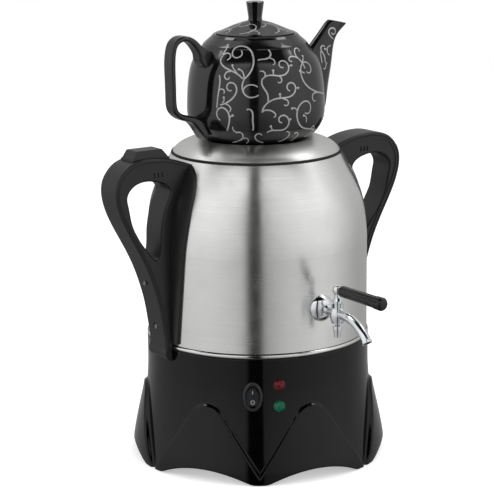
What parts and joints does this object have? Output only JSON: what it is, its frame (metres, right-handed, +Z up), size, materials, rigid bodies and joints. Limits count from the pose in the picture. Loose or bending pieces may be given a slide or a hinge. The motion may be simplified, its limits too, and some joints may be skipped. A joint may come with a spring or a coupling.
{
  "type": "electric samovar",
  "caption": "Electric samovar: steel tank on a petalled black base, plug-cock tap, two loop handles and a teapot kept warm on its lid.",
  "frame": {"origin": "on the upright axis of the tank, at the height of the table that the six feet stand on", "axes": "+Z up along the tank's axis; the tap points to -Y; the handles lie on X, the one with the lid button on -X and the teapot's spout on +X"},
  "size_m": [0.327, 0.3231, 0.4375],
  "materials": {
    "gloss_black_plastic": "moulded, high gloss",
    "satin_black_plastic": "moulded, satin",
    "matte_black_plastic": "moulded, matt",
    "black_rubber": "moulded",
    "silicone": "moulded",
    "brushed_steel": "brushed round the axis",
    "polished_steel": "polished",
    "chrome": "plated",
    "zinc_steel": "zinc plated",
    "aluminium": "die cast",
    "brass": "turned",
    "red_lens": "clear moulded, red",
    "green_lens": "clear moulded, green",
    "bulb_glass": "clear",
    "black_glaze": "gloss glaze with a silver scroll transfer"
  },
  "bodies": {
    "samovar": {"base_shell": "gloss_black_plastic", "bottom_cover": "matte_black_plastic", "rubber_feet": "black_rubber", "cover_screws": "zinc_steel", "rim_bead": "polished_steel", "tank_body": "brushed_steel", "tank_floor": "brushed_steel", "floor_seal": "silicone", "heater_plate": "aluminium", "heating_element": "zinc_steel", "tie_bolt": "zinc_steel", "tie_nut": "zinc_steel", "thermostats": "matte_black_plastic", "thermal_fuse": "matte_black_plastic", "terminal_block": "matte_black_plastic", "switch_housing": "matte_black_plastic", "lamp_red": "red_lens", "lamp_green": "green_lens", "lamp_bulbs": "bulb_glass", "cord_gland": "black_rubber", "handle_core_left": "satin_black_plastic", "handle_core_right": "satin_black_plastic", "handle_cover_left": "satin_black_plastic", "handle_cover_right": "satin_black_plastic", "handle_screws": "zinc_steel", "tap_rosette": "chrome", "tap_body": "chrome", "tap_washer": "silicone", "tap_locknut": "brass"},
    "tap_valve": {"tap_plug": "chrome", "plug_washer": "chrome", "plug_nut": "chrome", "lever_arm": "chrome", "lever_grip": "satin_black_plastic"},
    "rocker": {"switch_rocker": "matte_black_plastic"},
    "button": {"lid_button": "satin_black_plastic", "button_spring": "zinc_steel"},
    "lid": {"kettle_lid": "brushed_steel", "lid_seal": "silicone"},
    "teapot": {"teapot_body": "black_glaze", "teapot_spout": "black_glaze", "teapot_ear": "black_glaze"},
    "pot_lid": {"teapot_lid": "black_glaze"}
  },
  "joints": [
    {"name": "tap_turn", "type": "hinge", "parent": "samovar", "child": "tap_valve", "pos_m": [0, -0.131, 0.16], "axis": [0, 0, -1], "range_deg": [0, 90]},
    {"name": "switch_rock", "type": "hinge", "parent": "samovar", "child": "rocker", "pos_m": [-0.06227, -0.08354, 0.0824], "axis": [-0.8018, 0.5976, 0], "range_deg": [0, 16]},
    {"name": "lid_button_press", "type": "slide", "parent": "samovar", "child": "button", "axis": [0, 0, -1], "range_m": [0, 0.003], "stiffness_N_per_m": 300, "springref_m": -0.003, "deforming": ["button_spring"]},
    {"name": "lid_lift", "type": "slide", "parent": "samovar", "child": "lid", "axis": [0, 0, 1], "range_m": [0, 0.08]},
    {"name": "teapot_lift", "type": "slide", "parent": "lid", "child": "teapot", "axis": [0, 0, 1], "range_m": [0, 0.08]},
    {"name": "pot_lid_lift", "type": "slide", "parent": "teapot", "child": "pot_lid", "axis": [0, 0, 1], "range_m": [0, 0.06]}
  ]
}
